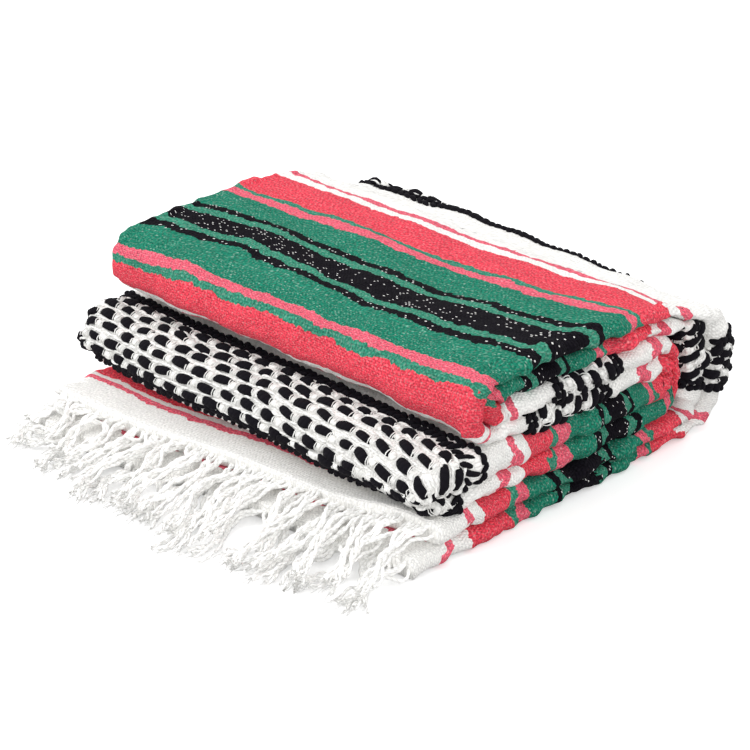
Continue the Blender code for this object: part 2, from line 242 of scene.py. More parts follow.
LENGTHS = {
    "a": (
        # metres from the blanket's middle, then places on the path at the five places across
        level(0.980, 0), level(0.958, 0.080), level(0.940, 0.202), level(0.913, 0.337),
        level(0.875, 0.492), level(0.838, 0.673), level(0.801, 0.829), level(0.762, 1.000),
        (0.745, 1.231, 1.215, 1.197, 1.167, 1.156),
        (0.724, 1.340, 1.310, 1.300, 1.290, 1.280),
        (0.680, 1.600, 1.560, 1.535, 1.495, 1.465),
        (0.6535, 1.795, 1.722, 1.678, 1.600, 1.560),
        (0.6435, 1.860, 1.782, 1.738, 1.660, 1.620),
        (0.6245, 2.205, 2.195, 2.115, 1.985, 1.945),
        (0.6165, 2.250, 2.240, 2.160, 2.025, 1.985),
        (0.608, 2.305, 2.275, 2.220, 2.125, 2.075),
        (0.573, 2.520, 2.514, 2.455, 2.335, 2.260),
        (0.559, 2.600, 2.585, 2.500, 2.452, 2.330),
        (0.535, 2.740, 2.700, 2.690, 2.615, 2.470),
        (0.522, 2.820, 2.778, 2.775, 2.717, 2.600),
        (0.498, 2.915, 2.860, 2.900, 2.875, 2.800),
        (0.485, 3.030, 2.938, 2.975, 2.972, 2.915),
        (0.461, 3.270, 3.190, 3.204, 3.175, 3.127),
        (0.452, 3.345, 3.255, 3.264, 3.245, 3.205),
        (0.447, 3.420, 3.333, 3.350, 3.335, 3.270),
        (0.417, 3.660, 3.660, 3.680, 3.690, 3.660),
        (0.4035, 3.850, 3.850, 3.850, 3.840, 3.780),
        level(0.387, 4.056), level(0.3715, 4.168), level(0.306, 4.630), level(0.280, 4.835),
        level(0.262, 5.000), level(0.245, 6.000), level(0.195, 6.160), level(0.145, 6.348),
        level(0.121, 6.504), level(0.107, 6.592), level(0.077, 6.703), level(0.060, 6.785),
        (0.0315, 6.930, 6.930, 6.930, 6.930, 6.940),
        (0.0175, 7.000, 7.000, 7.000, 7.030, 7.205),
        (-0.005, 7.549, 7.549, 7.549, 7.700, 8.000),
        (-0.0235, 8.000, 8.000, 8.000, 8.250, 8.650),
    ),
    "b": (
        level(0.995, 0), level(0.978, 0.080), level(0.9565, 0.170),
        (0.953, 0.178, 0.178, 0.183, 0.184, 0.184),
        (0.943, 0.190, 0.192, 0.204, 0.219, 0.222),
        level(0.913, 0.310), level(0.899, 0.386), level(0.875, 0.473), level(0.838, 0.681),
        level(0.795, 0.855), level(0.760, 1), level(0.634, 2), level(0.603, 2.2),
        level(0.573, 2.457), level(0.518, 2.75), level(0.470, 3), level(0.407, 4),
        level(0.376, 4.290), level(0.304, 4.705), level(0.276, 4.940), level(0.268, 5),
        level(0.218, 6), level(0.195, 6.113), level(0.145, 6.355), level(0.121, 6.483),
        level(0.107, 6.585), level(0.077, 6.733), level(0.060, 6.828),
        (0.046, 7.100, 7.100, 7.100, 7.050, 6.920),
        (0.0315, 7.800, 7.800, 7.800, 7.600, 7.100),
        (0.0235, 8.000, 8.000, 8.000, 7.800, 7.370),
        (0.005, 8.500, 8.500, 8.500, 8.250, 8.000),
        (-0.002, 8.700, 8.700, 8.700, 8.450, 8.200),
    ),
}


def across_shares(x):
    """How much each of the places across counts at x: a list of arrays."""
    x = np.clip(x, PLACES_ACROSS[0], PLACES_ACROSS[-1])
    return [np.interp(x, PLACES_ACROSS, row) for row in np.eye(len(PLACES_ACROSS))]


def cloth_length(ribbon, q, x):
    """Cloth length in metres at places q of the path and x across it."""
    table = np.array(LENGTHS[ribbon])
    return sum(
        share * np.interp(q, table[:, 1 + k], table[:, 0]) for k, share in enumerate(across_shares(x))
    )


def place_of(ribbon, length, x):
    """The place on the path where a cloth length lies at x, by halving the path again and again."""
    low, high = np.zeros_like(length), np.full_like(length, PATH_END)
    for _ in range(HALVINGS):
        middle = (low + high) / 2
        longer = cloth_length(ribbon, middle, x) > length
        low, high = np.where(longer, middle, low), np.where(longer, high, middle)
    return low


print("cloth from the middle to the fringe:", LENGTHS["a"][0][0])

# %% [markdown]
# A roll's section runs over its outer face, round the right fold, and back over its left end,
# where the fold and the two selvages lie one below the other. We describe it once as a list of
# small facts, and let numpy lay it at every place along the path.

# %% The section of one roll
TUCK = 0.012            # the skin of a roll runs this far in under its round ends
HIDDEN_SIDE = 0.01      # share of a roll's thickness at which its hidden side lies
NOSE_POWER = 2.2


def lobe_points(share0, share1, steps):
    """How far back and at which share of the roll's thickness a round end lies, point by point."""
    angle = ROUND_ANGLE * np.linspace(-1, 1, steps)
    back = (1 - np.cos(angle)) / (1 - math.cos(ROUND_ANGLE))
    return back, mix(share0, share1, 0.5 + 0.5 * np.sin(angle) / math.sin(ROUND_ANGLE))


def section(columns, steps, inner_columns=0):
    """Rows of (end, place across or depth of the round, depth of a selvage, tuck, share)."""
    rows = []
    if not inner_columns:
        rows.append((-1, 1, 1, 1, HIDDEN_SIDE))
    half = SELVAGE_SHARE / 2
    for share0, share1, selvage in ((0, half, 1), (half, 2 * half, 1), (2 * half, 1, 0)):
        for back, share in zip(*lobe_points(share0, share1, steps // 2 + 1 if selvage else steps)):
            rows.append((-1, back * (1 - selvage), selvage * (1 + back), 0, share))
    rows += [(0, across, 0, 0, 1) for across in np.linspace(0, 1, columns)[1:-1]]
    rows += [(1, back, 0, 0, share) for back, share in zip(*lobe_points(1, 0, steps))]
    if inner_columns:
        rows += [(0, across, 0, 0, HIDDEN_SIDE) for across in np.linspace(1, 0, inner_columns)[1:-1]]
    else:
        rows.append((1, 1, 0, 1, HIDDEN_SIDE))
    return np.array(rows)


def skin(q, ribbon, rows):
    """A grid of points on one roll's skin, places q along the path by rows round the section."""
    ya, za, yb, zb, right_a, left_a, right_b, left_b, skew, roundness = band(q)[:, :, None]
    if ribbon == "a":
        y_out, z_out, right, left = ya, za, right_a, left_a
    else:
        y_out, z_out, right, left = yb, zb, right_b, left_b
    y_in, z_in = (ya + yb) / 2, (za + zb) / 2
    end, place, selvage, tuck, share = rows.T[:, None, :]
    depth = mix(NOSE_ROUND, END_ROUND, roundness)
    back = mix(NOSE_ROUND * share**NOSE_POWER, END_ROUND * place, roundness)
    step = (SELVAGE_STEP + SELVAGE_ROUND * (selvage - 1)) * np.minimum(1, selvage) * roundness
    on_left = left + back + step + TUCK * tuck
    on_right = right - back - TUCK * tuck
    on_face = mix(left + depth, right - depth, place)
    x = np.where(end < 0, on_left, np.where(end > 0, on_right, on_face))
    return x, mix(y_in, y_out, share) + skew * x, mix(z_in, z_out, share)


def even_places(q0, q1, step):
    """Places from q0 to q1, so that neither face moves on by more than about step between two."""
    fine = np.linspace(q0, q1 - 1e-9, 600)
    ya, za, yb, zb = band(fine)[:4]
    moves = np.maximum(np.hypot(np.diff(ya), np.diff(za)), np.hypot(np.diff(yb), np.diff(zb)))
    along = np.concatenate([[0], np.cumsum(moves)])
    count = max(2, int(math.ceil(along[-1] / step)) + 1)
    at = np.linspace(0, along[-1], count)
    return np.interp(at, along, fine), at


print("rows round a section:", len(section(120, 12)))

# %% [markdown]
# Soft cloth is never flat. Long shallow troughs and ridges are listed, and a little
# uneven fullness is added with a sum of gentle waves in seeded random directions, which is
# smoother than random numbers at each vertex, and comes out the same every time.

# %% Creases and fullness
CREASES = {
    "top": (
        # x and length where it starts, x and length where it ends, half width, height
        (0.060, 0.030, 0.150, 0.082, 0.012, -0.0010),
        (0.090, 0.010, 0.158, 0.050, 0.012, 0.0006),
        (-0.150, 0.100, -0.040, 0.118, 0.014, -0.0014),
        (-0.090, 0.130, 0.030, 0.142, 0.013, 0.0011),
        (0.000, 0.098, 0.130, 0.112, 0.012, -0.0012),
        (-0.140, 0.158, -0.020, 0.172, 0.012, -0.0010),
        (-0.060, 0.055, 0.050, 0.068, 0.016, 0.0010),
        (-0.150, 0.205, -0.050, 0.196, 0.009, 0.0012),
        (0.010, 0.214, 0.120, 0.203, 0.010, -0.0012),
        (0.030, 0.240, 0.150, 0.232, 0.008, -0.0010),
        (-0.130, 0.236, -0.030, 0.244, 0.009, -0.0010),
    ),
    "back": (
        (-0.150, 0.060, -0.010, 0.074, 0.013, -0.0020),
        (-0.040, 0.100, 0.120, 0.088, 0.015, -0.0018),
        (0.020, 0.045, 0.150, 0.058, 0.011, 0.0014),
        (-0.140, 0.135, 0.000, 0.126, 0.012, 0.0014),
        (0.040, 0.145, 0.155, 0.155, 0.012, -0.0014),
    ),
    "bottom": (),
    "inner": (),
    "middle": (
        (-0.140, 0.232, -0.020, 0.240, 0.008, -0.0010),
        (0.010, 0.250, 0.120, 0.242, 0.009, 0.0010),
    ),
}


def path_length(q0, q1):
    return even_places(q0, q1, 1.0)[1][-1] if q1 > q0 else 0.0


STARTS = {"bottom": 0, "back": BACK, "top": TOP, "inner": INNER, "middle": MIDDLE}
STARTS = {name: path_length(0, q) for name, q in STARTS.items()}
CREASE_ROWS = [
    (x0, l0 + STARTS[name], x1, l1 + STARTS[name], half_width, height)
    for name, table in CREASES.items() for x0, l0, x1, l1, half_width, height in table
]
CREASE_FULL, CREASE_FADE = 0.32, 0.18    # shares of a crease's length, from its middle


def creased(x, along):
    """How high all the creases together lift the cloth at x and along its path."""
    total = 0 * x
    for x0, l0, x1, l1, half_width, height in CREASE_ROWS:
        run_x, run_l = x1 - x0, l1 - l0
        t = ((x - x0) * run_x + (along - l0) * run_l) / (run_x**2 + run_l**2)
        side = (x - x0) * run_l - (along - l0) * run_x
        side = side / math.hypot(run_x, run_l)
        ends_off = np.maximum(0, np.abs(t - 0.5) - CREASE_FULL) / CREASE_FADE
        total = total + height * np.exp(-((side / half_width) ** 2) - ends_off**2)
    return total


def ripple(u, v, size, seed, waves=7):
    """Gentle waves about size long, crossing at random: about -1 to 1."""
    draw = np.random.default_rng(seed)
    total = 0 * u
    for _ in range(waves):
        angle, long, phase = draw.uniform(0, math.pi), size * draw.uniform(0.7, 1.5), draw.uniform(0, 6.3)
        total = total + np.sin(2 * math.pi * (u * math.cos(angle) + v * math.sin(angle)) / long + phase)
    return total / math.sqrt(waves * 2)


print("creases placed by hand:", len(CREASE_ROWS))

# %% [markdown]
# A grid of points becomes a mesh: four neighbours make a face, and each corner takes a UV in
# metres of cloth, across and along, so that the finishes can be drawn at their real size.

# %% Grids to meshes


def grid_faces(rows, columns, closed, flip):
    i, k = np.meshgrid(np.arange(rows - 1), np.arange(columns if closed else columns - 1), indexing="ij")
    i, k = i.ravel(), k.ravel()
    n = (k + 1) % columns
    quads = np.stack([i * columns + k, (i + 1) * columns + k, (i + 1) * columns + n, i * columns + n], axis=1)
    return quads[:, ::-1] if flip else quads


def make_mesh(name, points, quads, uv=None):
    mesh = bpy.data.meshes.new(name)
    mesh.from_pydata(np.asarray(points).reshape(-1, 3).tolist(), [], quads.tolist())
    if uv is not None:
        layer = mesh.uv_layers.new(name="UVMap")
        layer.data.foreach_set("uv", uv[quads.ravel()].astype(np.float32).ravel())
    mesh.shade_smooth()
    piece = bpy.data.objects.new(name, mesh)
    bpy.context.scene.collection.objects.link(piece)
    return piece


def unit(vectors):
    return vectors / np.maximum(1e-12, np.linalg.norm(vectors, axis=-1, keepdims=True))


def normals(points):
    """Which way each point of a grid faces."""
    along, across = np.gradient(points, axis=0), np.gradient(points, axis=1)
    return unit(np.cross(along, across))


print("faces of a grid of 3 by 4 points:", len(grid_faces(3, 4, False, False)))

# %% [markdown]
# Now the cloth. Every roll's skin is laid on a grid of about 2 mm, fine enough for its soft
# creases, and pushed in or out along its own normals. Faces that lie hidden between two rolls
# get no fullness, so that nothing cuts through its neighbour, and the underside stays flat.

# %% Lay the cloth
FACE_SHOWN = {
    "a": ((0, 0), (1.02, 0), (1.10, 1), (3.85, 1), (4.0, 0), (6.97, 0), (7.08, 1), (8, 1)),
    "b": ((0, 0), (0.08, 0.5), (0.16, 0.4), (0.20, 0), (6.99, 0), (7.12, 1), (8, 1)),
}
FACE_FULLNESS, FACE_WAVE = 0.0013, 0.060
END_FULLNESS, END_WAVE = 0.0018, 0.030
SMALL_FULLNESS, SMALL_WAVE = 0.00035, 0.011
FOLD_LIFT = ((-0.16, 0.0080), (-0.06, 0.0070), (0.03, 0.0055), (0.11, 0.0045), (0.150, 0.0))
LIFT_FROM, LIFT_FULL, LIFT_FADES, LIFT_GONE = 3.40, 3.75, 4.0, 4.25
INNER_RIBBON_SHARE = 0.5
SEEDS = {"a": 11, "b": 23}
FLOOR_GAP = 0.0002
SKINS = {}


def fold_lift(q, x):
    """The front fold hangs a little higher than its solid, most at the left."""
    high = np.interp(x, *np.array(FOLD_LIFT).T)
    return high * smooth(LIFT_FROM, LIFT_FULL, q) * (1 - smooth(LIFT_FADES, LIFT_GONE, q))


def across_from_middle(points, x, rows):
    """Metres round a skin from the middle of its outer face."""
    across = np.cumsum(np.linalg.norm(np.diff(points, axis=1, prepend=points[:, :1]), axis=2), axis=1)
    off_the_face = (rows[:, 0] != 0) | (rows[:, 4] < 1)
    middle = int(np.argmin(np.abs(x[0]) + off_the_face))
    return across - across[:, middle:middle + 1]


def fullness(piece, ribbon, q, along, across, x, rows):
    """How far each point is pushed out: broad waves on the face, puffs on the round ends."""
    shown = np.interp(q, *np.array(FACE_SHOWN[ribbon]).T)[:, None]
    face = shown * (rows[:, 0] == 0) * (rows[:, 4] == 1)
    rounds = (rows[:, 0] != 0) * (rows[:, 3] == 0) * np.ones_like(face)
    seed = SEEDS[ribbon]
    long = STARTS[piece] + along[:, None] + 0 * x
    wave = FACE_FULLNESS * ripple(across, long, FACE_WAVE, seed) + creased(x, long)
    small = SMALL_FULLNESS * ripple(across, long, SMALL_WAVE, seed + 1)
    puff = END_FULLNESS * ripple(across, long, END_WAVE, seed + 2) + 2 * small
    if ribbon == "b":
        wave = INNER_RIBBON_SHARE * wave
    return face * (wave + small) + rounds * puff


def lay_skin(piece, ribbon, q0, q1, step, columns, steps, inner_columns=0, lip=False):
    """One roll's skin: its points, and UVs in metres. SKINS keeps what yarn laid on it needs."""
    q, along = even_places(q0, q1, step)
    rows = section(columns, steps, inner_columns)
    x, y, z = skin(q, ribbon, rows)
    points = lean(x, y, z)
    across = across_from_middle(points, x, rows)
    cloth = np.stack([across, cloth_length(ribbon, q[:, None], x)], axis=-1)
    normal = normals(points) * (1 if ribbon == "a" else -1)
    points = points + normal * fullness(piece, ribbon, q, along, across, x, rows)[..., None]
    points[..., 2] = np.maximum(points[..., 2], FLOOR_GAP) + fold_lift(q[:, None], x)
    SKINS.setdefault(piece, {})[ribbon] = {"q": q, "points": points, "across": across, "normal": normal}
    if lip:
        points, cloth = add_lip(points, cloth)
    return ribbon, points, cloth, inner_columns > 0


LIP, LIP_STEPS = 0.0030, 5


def add_lip(points, cloth):
    """Closes a roll's cut end with a short round lip, four cloths thick."""
    first = points[0]
    middle_z = (first[:, 2].max() + first[:, 2].min()) / 2
    rows, cloths = [], []
    for k in range(LIP_STEPS, 0, -1):
        angle = math.pi / 2 * k / LIP_STEPS
        row = first.copy()
        row[:, 1] -= LIP * math.sin(angle)
        row[:, 2] = middle_z + (row[:, 2] - middle_z) * math.cos(angle)
        rows.append(row)
        cloths.append(cloth[0] + np.array([0, LIP * math.sin(angle)]))
    return np.concatenate([rows, points]), np.concatenate([cloths, cloth])


def cloth_piece(name, *skins):
    """Joins the skins of a stretch in one mesh, outsides out."""
    all_points, all_quads, all_uv, count = [], [], [], 0
    for ribbon, points, cloth, closed in skins:
        rows, columns = points.shape[:2]
        all_quads.append(grid_faces(rows, columns, closed, ribbon == "b") + count)
        all_points.append(points.reshape(-1, 3))
        all_uv.append(cloth.reshape(-1, 2))
        count += rows * columns
    piece = make_mesh(name, np.concatenate(all_points), np.concatenate(all_quads), np.concatenate(all_uv))
    print(name, "faces:", len(piece.data.polygons))
    return piece


BOTTOM_CLOTH = cloth_piece(
    "bottom_stretch_cloth",
    lay_skin("bottom", "a", BOTTOM, BACK, step=0.0030, columns=110, steps=11,
             inner_columns=110, lip=True),
    lay_skin("bottom", "b", UPPER_START, BACK, step=0.0024, columns=130, steps=11,
             inner_columns=20, lip=True),
)
BACK_CLOTH = cloth_piece(
    "back_turn_cloth",
    lay_skin("back", "a", BACK, TOP, step=0.0020, columns=160, steps=13),
    lay_skin("back", "b", BACK, TOP, step=0.0024, columns=24, steps=13),
)
TOP_CLOTH = cloth_piece(
    "top_and_front_fold_cloth",
    lay_skin("top", "a", TOP, INNER, step=0.0017, columns=190, steps=15),
    lay_skin("top", "b", TOP, INNER, step=0.0022, columns=24, steps=15),
)
INNER_CLOTH = cloth_piece(
    "inner_stretch_cloth",
    lay_skin("inner", "a", INNER, MIDDLE, step=0.0022, columns=24, steps=15),
    lay_skin("inner", "b", INNER, MIDDLE, step=0.0022, columns=40, steps=15),
)
MIDDLE_CLOTH = cloth_piece(
    "middle_fold_cloth",
    lay_skin("middle", "a", MIDDLE, TIP, step=0.0018, columns=150, steps=15),
    lay_skin("middle", "b", MIDDLE, TIP, step=0.0018, columns=150, steps=15),
)

# %% [markdown]
# The middle band is woven with floats: black yarn lies on top of the white ground for about a
# centimetre and dives under it, row by row, half a step apart, with pairs of thin white warps
# where it dives, and a thick braided-looking row along each edge. A printed pattern would look
# flat from the side, so every float is a small lump of yarn laid on the cloth. First we need the
# way from a length and a place across the cloth to a point on its skin.

# %% Find places on the cloth


def on_cloth(piece, ribbon, length, across):
    """Points, normals and both directions of the cloth at lengths and places across it."""
    grid = SKINS[piece][ribbon]
    q = place_of(ribbon, length, across)
    i = np.interp(q, grid["q"], np.arange(len(grid["q"])))
    i0 = np.clip(i.astype(int), 0, len(grid["q"]) - 2)
    forward = 1 if ribbon == "a" else -1
    k = np.array([np.interp(a, grid["across"][r], np.arange(grid["across"].shape[1]))
                  for a, r in zip(across, i0)])
    k0 = np.clip(k.astype(int), 0, grid["across"].shape[1] - 2)
    row_share, column_share = (i - i0)[:, None], (k - k0)[:, None]
    p, n = grid["points"], grid["normal"]

    def blend(g):
        near = mix(g[i0, k0], g[i0, k0 + 1], column_share)
        far = mix(g[i0 + 1, k0], g[i0 + 1, k0 + 1], column_share)
        return mix(near, far, row_share)

    point, normal = blend(p), unit(blend(n))
    side = unit(p[i0, k0 + 1] - p[i0, k0])
    return point, normal, side, forward * unit(np.cross(normal, side))


nose_top = on_cloth("middle", "a", np.zeros(1), np.zeros(1))[0]
print("middle of the blanket:", nose_top.ravel().round(4))

# %% [markdown]
# A float is a capsule-shaped lump whose middle line follows the cloth. All the lumps of one
# kind are worked out together, ring by ring, which is quick and keeps them one mesh.

# %% Yarn lumps and threads
RINGS, SIDES = 7, 8
DIVE, DIVE_POWER = 1.6, 2.5          # how far and how suddenly a lump's ends go down into the cloth
TAPER_POWER, TAPER_LEAST = 2.2, 0.02


def tube_mesh(ring, run):
    """Points, faces and UVs of tubes: rings of points (n, rings, sides, 3), run metres along."""
    n, rings, sides = ring.shape[:3]
    i, r, s = np.meshgrid(np.arange(n), np.arange(rings - 1), np.arange(sides), indexing="ij")
    start = (i * rings + r) * sides
    t = (s + 1) % sides
    quads = np.stack([start + s, start + t, start + sides + t, start + sides + s], axis=-1).reshape(-1, 4)
    uv = np.stack([np.broadcast_to(run[:, :, None], ring.shape[:3]),
                   np.broadcast_to(np.arange(sides) / sides, ring.shape[:3])], axis=-1)
    return ring.reshape(-1, 3), quads, uv.reshape(-1, 2)


def rings_round(centre, flank, up, wide, high, sides):
    """Elliptic rings round centre lines (n, rings, 3); wide and high are (n, rings)."""
    angle = 2 * math.pi * np.arange(sides) / sides
    return (
        centre[:, :, None]
        + flank[:, :, None] * (np.cos(angle) * wide[..., None])[..., None]
        + up[:, :, None] * (np.sin(angle) * high[..., None])[..., None]
    )


def lumps(piece, ribbon, length, across, long, wide, high, tilt, lift):
    """Lumps of yarn centred at lengths and places across the cloth, turned by tilt."""
    places = place_of(ribbon, length, across)
    ends_at = SKINS[piece][ribbon]["q"][[0, -1]]
    kept = (places >= ends_at[0]) & (places < ends_at[1])
    length, across, long, wide, high, tilt, lift = (
        values[kept] for values in (length, across, long, wide, high, tilt, lift)
    )
    along = np.linspace(-0.5, 0.5, RINGS)
    reach = along * long[:, None]
    at_length = length[:, None] + reach * np.sin(tilt)[:, None]
    at_across = across[:, None] + reach * np.cos(tilt)[:, None]
    found = on_cloth(piece, ribbon, at_length.ravel(), at_across.ravel())
    point, normal, side, ahead = (f.reshape(len(length), RINGS, 3) for f in found)
    line = side * np.cos(tilt)[:, None, None] + ahead * np.sin(tilt)[:, None, None]
    from_middle = 2 * np.abs(along)
    rise = lift[:, None] * (1 - DIVE * from_middle**DIVE_POWER)
    taper = np.sqrt(np.maximum(TAPER_LEAST, 1 - from_middle**TAPER_POWER))
    centre = point + normal * rise[..., None]
    flank = np.cross(normal, line)
    ring = rings_round(centre, flank, normal, wide[:, None] * taper, high[:, None] * taper, SIDES)
    run = np.linalg.norm(centre[:, -1] - centre[:, 0], axis=1)[:, None] * np.linspace(0, 1, RINGS)
    return tube_mesh(ring, run)


def join_parts(name, parts):
    """parts: (points, quads, uv, material number). One mesh, one material slot for each number."""
    count, points, quads, uvs, numbers = 0, [], [], [], []
    for part_points, part_quads, part_uv, number in parts:
        points.append(part_points)
        quads.append(part_quads + count)
        uvs.append(part_uv)
        numbers.append(np.full(len(part_quads), number))
        count += len(part_points)
    piece = make_mesh(name, np.concatenate(points), np.concatenate(quads), np.concatenate(uvs))
    piece.data.polygons.foreach_set("material_index", np.concatenate(numbers).astype(np.int32))
    print(name, "faces:", len(piece.data.polygons))
    return piece


print("points of one lump:", RINGS * SIDES)

# %% [markdown]
# The pattern of one float band, charted: three rows of floats to each side of its
# middle, a white lump in each gap and a thin white thread between the rows, then two rows of
# slanting lumps that make the braided edge. On the round right ends, where the cloth was pulled
# askew, the floats slant too. Every size is scattered a little, as hand-spun yarn is uneven.

# %% The float bands
HALF_PERIOD = 0.170      # from the middle of a float band to the middle of a black band
ROW_PITCH, FLOAT_PITCH = 0.0086, 0.0186
FLOAT_LONG, GROUND_LONG = 0.0165, 0.0098
BLACK, WHITE = 0, 1
LUMPS = {
    # length, half width, half height, how high over the cloth, and yarn
    "float": (FLOAT_LONG, 0.0034, 0.0021, 0.0014, BLACK),
    "gap": (0.0078, 0.0027, 0.0015, 0.0007, WHITE),
    "ground": (GROUND_LONG, 0.0010, 0.0012, 0.0004, WHITE),
    "warp": (0.0086, 0.00036, 0.00036, 0.0025, WHITE),
    "edge": (0.0088, 0.0022, 0.0017, 0.0010, BLACK),
}
EDGE_ROWS = ((0.0290, 0.50), (0.0336, -0.50))    # how far from the band's middle, and tilt
EDGE_PITCH, EDGE_SHIFT = 0.0056, 0.08
GROUND_PITCH, GROUND_SHIFT = GROUND_LONG * 0.9, GROUND_LONG * 0.4
WARP_FROM_MIDDLE, WARP_APART, WARP_TILT = FLOAT_LONG * 0.44, 0.0018, 0.15
RIGHT_SLANT, SLANT_FROM, SLANT_FULL = -0.5, 0.148, 0.160
PLACE_SCATTER, ACROSS_SCATTER, TILT_SCATTER = 0.0009, 0.0020, 0.15
LONG_SCATTER, WIDE_SCATTER, HIGH_SCATTER = 0.20, 0.18, 0.20


def float_band(name, seed, stretches):
    """stretches: (piece, ribbon, middle of the band, first and last place across)."""
    draw = np.random.default_rng(seed)
    parts = []

    def scatter(count, far):
        return draw.uniform(-far, far, count)

    def add(kind, where, at_length, at_across, tilt=0.0):
        n = len(at_across)
        if not n:
            return
        long, wide, high, lift, yarn = LUMPS[kind]
        size = 1 + scatter(n, LONG_SCATTER)
        slant = RIGHT_SLANT * smooth(SLANT_FROM, SLANT_FULL, at_across) * (tilt == 0)
        made = lumps(*where, at_length + scatter(n, PLACE_SCATTER), at_across, long * size,
                     wide * (1 + scatter(n, WIDE_SCATTER)), high * (1 + scatter(n, HIGH_SCATTER)),
                     tilt + slant + scatter(n, TILT_SCATTER), np.full(n, lift))
        if len(made[0]):
            parts.append((*made, yarn))

    for piece, ribbon, middle, first, last in stretches:
        where = (piece, ribbon)
        for row in range(-3, 3):
            length = middle + ROW_PITCH * (row + 0.5)
            across = np.arange(first + FLOAT_PITCH / 2 * (row % 2), last, FLOAT_PITCH)
            across = across + scatter(len(across), ACROSS_SCATTER)
            add("float", where, length, across)
            add("gap", where, length, across + FLOAT_PITCH / 2)
            for apart in (-0.5, 0.5):
                for end in (-1, 1):
                    warps = across + end * WARP_FROM_MIDDLE + apart * WARP_APART
                    add("warp", where, length, warps, math.pi / 2 + WARP_TILT * end)
        for row in range(-3, 4):
            ground = np.arange(first, last, GROUND_PITCH) + (row % 2) * GROUND_SHIFT
            add("ground", where, middle + ROW_PITCH * row, ground)
        for side in (-1, 1):
            for away, tilt in EDGE_ROWS:
                edge = np.arange(first, last, EDGE_PITCH) + away * EDGE_SHIFT
                add("edge", where, middle + side * away, edge, tilt)
    return join_parts(name, parts)


RIGHT_TURN = 0.166       # where across the round right end of a roll has its middle
LEFT_TURN = RIGHT_TURN - 18 * FLOAT_PITCH
MIDDLE_BAND, INNER_BAND, BACK_BAND = 0.0, 2 * HALF_PERIOD, 4 * HALF_PERIOD
NOSE_FLOATS = float_band("middle_floats", 3, (
    ("middle", "a", MIDDLE_BAND, LEFT_TURN, 0.174),
    ("middle", "b", MIDDLE_BAND, LEFT_TURN, 0.174),
))
BACK_FLOATS = float_band("back_floats", 5, (
    ("back", "a", BACK_BAND, LEFT_TURN, 0.176),
    ("top", "a", BACK_BAND, LEFT_TURN, 0.176),
    ("back", "b", BACK_BAND, RIGHT_TURN - FLOAT_PITCH, 0.176),
    ("back", "b", BACK_BAND, LEFT_TURN, -0.142),
))
INNER_FLOATS = float_band("inner_floats", 7, (
    ("inner", "a", INNER_BAND, RIGHT_TURN - FLOAT_PITCH, 0.175),
    ("inner", "a", INNER_BAND, LEFT_TURN, -0.142),
    ("inner", "b", INNER_BAND, RIGHT_TURN - FLOAT_PITCH, 0.176),
    ("inner", "b", INNER_BAND, LEFT_TURN, -0.142),
))

# %% [markdown]
# The fringe is the warp itself, left long and twisted into cords of two plies, which cling
# together in tufts and tangle. Each cord is a path that leaves the cloth's edge, droops to the
# floor and wanders; two thin tubes wind round that path, and loose fibres end it.

# %% The fringe
FRINGE = (
    # x of the root, reach towards the front, drift to the right
    (-0.160, 0.030, 0.000), (-0.080, 0.064, 0.006), (0.000, 0.090, 0.014),
    (0.080, 0.088, 0.018), (0.160, 0.066, 0.016),
)
HALF_EDGE = 0.1535              # half the width of the edge that carries the fringe
TUFTS, CORDS = 19, 5
TUFT_OF = np.repeat(np.arange(TUFTS), CORDS)    # the tuft of each cord
COUNT = len(TUFT_OF)
TUFT_WIDE, ROOT_SCATTER, ROOT_HIGH = 0.85, 0.0008, 0.0028
TUFT_SHORTEST, TUFT_LONGER = 0.80, 0.26         # shares of the reach in the table
CORD_SHARES = (0.86, 1.04)
LEAN_TO, DRIFT_POWER = (-0.012, 0.007), 1.3
GATHER, GATHERED, OPEN_AGAIN, OPENS = 0.74, 0.42, 0.45, 0.62
TUFT_WAVE, TUFT_TURNS = 0.0046, (0.4, 1.1)
OWN_WAVE, OWN_TURNS = 0.0026, (0.6, 1.5)
AHEAD_WAVE, AHEAD_TURNS = 0.0014, (1, 2)
HIGH_WAVE, HIGH_TURNS = 0.0022, (1.0, 2.2)
START_INSIDE, DROOP_POWER, ABOVE_FLOOR = 0.0015, 1.5, 0.0004
CORD_STEPS, PLY_SIDES = 64, 5
PLY_RADIUS, PLY_OUT, PLY_PITCH = 0.00125, 0.00070, 0.0180
UNTWIST, UNTWIST_FROM, THINNER = 0.8, 0.85, 0.35
SLUB, SLUB_LONG = 0.14, 0.0021                  # how thick and how long the yarn's uneven places are
HAIR_STARTS = (0.90, 0.94, 0.62, 0.35)          # shares of a cord's steps
HAIR_LONG, HAIR_BEND, HAIR_FLAT, HAIR_POWER = (0.008, 0.018), 0.0016, 0.35, 1.6
HAIR_RADIUS, HAIR_STEPS, HAIR_SIDES, HAIR_LOWEST = 0.00026, 9, 3, 0.0008
ALONG = np.linspace(0, 1, CORD_STEPS)[None, :]


def along_paths(path):
    """Metres run along each path, and its directions ahead, to the flank and up."""
    run = np.cumsum(np.linalg.norm(np.diff(path, axis=1, prepend=path[:, :1]), axis=2), axis=1)
    ahead = unit(np.gradient(path, axis=1))
    flank = unit(np.cross(ahead, np.array([0.0, 0.0, 1.0])))
    return run, ahead, flank, np.cross(flank, ahead)


def tubes(centre, radius, sides):
    """Round tubes along centre lines (n, steps, 3); radius is (n, steps)."""
    run, ahead, flank, up = along_paths(centre)
    return tube_mesh(rings_round(centre, flank, up, radius, radius, sides), run)


def for_tufts(draw, low, high):
    """One random number for each tuft, handed to all its cords."""
    return draw.uniform(low, high, TUFTS)[TUFT_OF][:, None]


